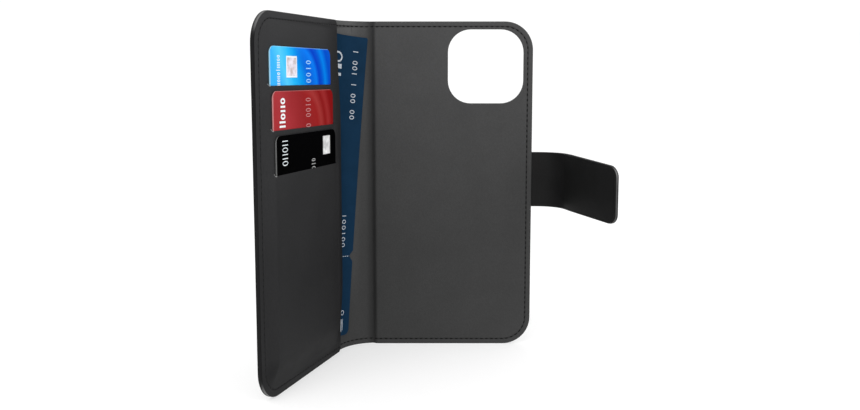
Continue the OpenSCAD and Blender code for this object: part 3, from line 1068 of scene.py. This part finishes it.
TICKET = plain_material("ticket_paper_look", srgb("#0e293f"), srgb("#122e46"), 120.0, 0.6,
                        gloss=0.04)
TICKET_INK = plain_material("ticket_ink", srgb("#a8b0b9"), srgb("#c6cbd2"), 900.0, 0.5)
WHITE_INK = plain_material("white_ink", srgb("#e2f2f8"), srgb("#ffffff"), 900.0, 0.4)
SKY_INK = plain_material("sky_ink", srgb("#8cc8f8"), srgb("#b4e2ff"), 900.0, 0.4)
PINK_INK = plain_material("pink_ink", srgb("#b87678"), srgb("#cc9496"), 900.0, 0.4)
GREY_INK = plain_material("grey_ink", srgb("#a0a0a0"), srgb("#bcbcbc"), 900.0, 0.4)


def card_axes(nodes, links, k):
    """Where a point is on card k: across from its outer edge, up from its foot and out from
    its face, in mm."""
    place = card_place(k)
    origin = place(0, 0, 0)
    away = nodes.new("ShaderNodeVectorMath")
    away.operation = "SUBTRACT"
    links.new(coords(nodes), away.inputs[0])
    away.inputs[1].default_value = origin * MM
    sockets = []
    for direction in (place(1, 0, 0) - origin, place(0, 1, 0) - origin, place(0, 0, 1) - origin):
        dot = nodes.new("ShaderNodeVectorMath")
        dot.operation = "DOT_PRODUCT"
        links.new(away.outputs[0], dot.inputs[0])
        dot.inputs[1].default_value = direction / MM
        sockets.append(dot.outputs["Value"])
    return sockets


def math_node(nodes, links, operation, a, b):
    m = nodes.new("ShaderNodeMath")
    m.operation = operation
    for socket, val in zip(m.inputs, (a, b)):
        if isinstance(val, float):
            socket.default_value = val
        else:
            links.new(val, socket)
    return m.outputs[0]


def ring_distance(nodes, links, across, up):
    """Distance from the middle of the printed arcs, which lies left of and below the chip."""
    at = nodes.new("ShaderNodeCombineXYZ")
    links.new(across, at.inputs[0])
    links.new(up, at.inputs[1])
    far = nodes.new("ShaderNodeVectorMath")
    far.operation = "DISTANCE"
    links.new(at.outputs[0], far.inputs[0])
    far.inputs[1].default_value = (24.3, CARD_H - 16.4, 0)
    return far.outputs["Value"]


def card_border(nodes, links, axes, col, edge, top_painted_highlight):
    """A painted highlight on the bevel along the outer edge and, more faintly, along the top; the pale
    front half of the card's cut edge, partly its pale core and partly painted highlight; and a plain dark
    back with its dark magnetic stripe, whose dark tone on the back half of the cut edge is painted shade."""
    across, up, out = axes
    # painted highlight on the outer edge's bevel, then on the top edge's
    col = mix_color(nodes, links, span(nodes, links, across, 0.1, 0.35, 0.8, 0.0), col, edge)
    below = math_node(nodes, links, "SUBTRACT", CARD_H, up)
    col = mix_color(nodes, links, span(nodes, links, below, 0.1, 0.35, 0.35 * top_painted_highlight, 0.0), col, edge)
    side = span(nodes, links, out, -0.06, -0.02, 1.0, 0.0)
    faded = span(nodes, links, across, 1.0, 4.0, 1.0, 0.4 * top_painted_highlight)
    side = math_node(nodes, links, "MULTIPLY", side, faded)
    col = mix_color(nodes, links, side, col, edge)
    # the back's dark tone, also painted shade on the back half of the cut edge
    behind = span(nodes, links, out, -0.5, -0.36, 1.0, 0.0)
    stripe = math_node(nodes, links, "MULTIPLY", span(nodes, links, across, 39.8, 40.0, 0.0, 1.0),
                       span(nodes, links, across, 49.8, 50.0, 1.0, 0.0))
    back = mix_color(nodes, links, stripe, tuple(c * 0.12 for c in edge), (0.004, 0.004, 0.004))
    return mix_color(nodes, links, behind, col, back)


def card_material(name, k, run, arcs, arc_share, edge, top_painted_highlight=1.0, gloss=0.05):
    """A printed card: a colour run that slants across it, and curved bands on its inner half."""
    mat, nodes, links, shader = node_tree(name)
    axes = card_axes(nodes, links, k)
    across, up = axes[:2]
    at = coords(nodes)
    slant = math_node(nodes, links, "MULTIPLY", math_node(nodes, links, "SUBTRACT", CARD_H, up), 0.55)
    lean = math_node(nodes, links, "SUBTRACT", across, slant)
    uneven = span(nodes, links, noise(nodes, links, at, 60.0, 1.0), 0.3, 0.7, -1.5, 1.5)
    lean = math_node(nodes, links, "ADD", lean, uneven)
    col = ramp(nodes, links, span(nodes, links, lean, -8.0, CARD_W, 0.0, 1.0),
               [((mm + 8) / (CARD_W + 8), srgb(code)) for mm, code in run])
    far = ring_distance(nodes, links, across, up)
    band = ramp(nodes, links, span(nodes, links, far, 0.0, 36.0, 0.0, 1.0),
                [(mm / 36, srgb(code)) for mm, code in arcs])
    inner = span(nodes, links, lean, 20.0, 29.0, 0.0, arc_share)
    col = mix_color(nodes, links, inner, col, band)
    links.new(card_border(nodes, links, axes, col, srgb(edge), top_painted_highlight), shader.inputs["Base Color"])
    fine = noise(nodes, links, at, 500.0, 2.0)
    links.new(span(nodes, links, fine, 0.3, 0.7, 0.34, 0.42), shader.inputs["Roughness"])
    links.new(bump(nodes, links, fine, 0.05, 0.00001), shader.inputs["Normal"])
    shader.inputs["Specular IOR Level"].default_value = gloss
    return mat


def chip_material():
    """Contact plates: a pale rim round mottled metal."""
    mat, nodes, links, shader = node_tree("card_chip")
    across, up = card_axes(nodes, links, 0)[:2]
    mottle = noise(nodes, links, coords(nodes), 420.0, 3.0)
    metal = ramp(nodes, links, mottle,
                 [(0.35, srgb("#c4b6b4")), (0.5, srgb("#e4dbe6")), (0.65, srgb("#f6f0fa"))])
    middle = (CHIP_ACROSS + CHIP_W / 2, CHIP_UP + CHIP_H / 2)
    sides = []
    for value, centre, half in ((across, middle[0], CHIP_W / 2), (up, middle[1], CHIP_H / 2)):
        off = math_node(nodes, links, "SUBTRACT", value, centre)
        off = math_node(nodes, links, "ABSOLUTE", off, 0.0)
        sides.append(span(nodes, links, off, half - 0.75, half - 0.5, 0.0, 1.0))
    rim = math_node(nodes, links, "MAXIMUM", *sides)
    links.new(mix_color(nodes, links, rim, metal, srgb("#f6fcff")), shader.inputs["Base Color"])
    shader.inputs["Roughness"].default_value = 0.35
    links.new(bump(nodes, links, mottle, 0.3, 0.00003), shader.inputs["Normal"])
    return mat


def hidden_pieces():
    board = plain_material("grey_board", srgb("#6d675d"), srgb("#7c766b"), 300.0, 0.85)
    steel = plain_material("steel_plate", srgb("#a6a6a8"), srgb("#bcbcbe"), 200.0, 0.35, 1.0,
                           0.00001, (1, 1, 8))
    sheet = plain_material("pocket_sheet", srgb("#353536"), srgb("#404041"), 500.0, 0.75)
    for node in ("back_board", "spine_stiffener", "front_board", "strap_tip_stiffener"):
        paint(node, board)
    for node in ("upper_holding_plate", "lower_holding_plate", "clasp_plate", "strap_magnets"):
        paint(node, steel)
    for node in ("top_card_pocket", "middle_card_pocket", "bottom_card_pocket"):
        paint(node, sheet)


def cards():
    """Each card: its colour run across, its bands outwards from the middle of the arcs, and
    its edge. Both lists are (mm, colour)."""
    paint("top_card", card_material(
        "blue_card", 0,
        [(-8, "#34b0ff"), (0, "#38b4ff"), (6, "#54ccff"), (13, "#22b8f8"), (19, "#0098ee"),
         (25, "#0078e2"), (31, "#0058d8")],
        [(0, "#006ee0"), (10, "#005ed8"), (16.2, "#047cf2"), (18.9, "#0040c8"), (21.5, "#0054d2"),
         (24.7, "#0084ee"), (28.6, "#004ecc"), (34, "#005cd6")],
        1.0, "#b4e8ff"))
    paint("middle_card", card_material(
        "red_card", 1,
        [(-8, "#a43034"), (4, "#a8343a"), (14, "#9a2a2e"), (26, "#8e1f22"), (50, "#8a1416")],
        [(0, "#a02c2c"), (15, "#9c2222"), (18, "#a83a38"), (22, "#8c1616"), (25, "#a23030"),
         (28.6, "#861214"), (34, "#8c0c0a")],
        0.8, "#d89494"))
    paint("bottom_card", card_material(
        "black_card", 2, [(-8, "#020202"), (24, "#030304"), (50, "#010101")],
        [(0, "#020202"), (18, "#040405"), (30, "#010102")],
        0.6, "#727272", top_painted_highlight=0.0, gloss=0.01))
    paint("top_card_chip", chip_material())
    foil = plain_material("hologram_foil", srgb("#a8a8a8"), srgb("#ffffff"), 260.0, 0.35)
    paint("bottom_card_foil", foil)
    card_prints()


make_camera()
make_stage()
back_skin()
front_skin()
back_inner()
front_inner()
pocket_panel()
stitching("back_thread", cover_path(SPINE_MID, BACK_W), back_thread,
          ("back_stitching", "spine_stitching"), bend_back)
stitching("front_thread", front_path(SPINE_MID), front_thread,
          ("front_stitching",), bend_front, mouth_tacks())
ticket()
ticket_print()
strap()
hidden_pieces()
cards()
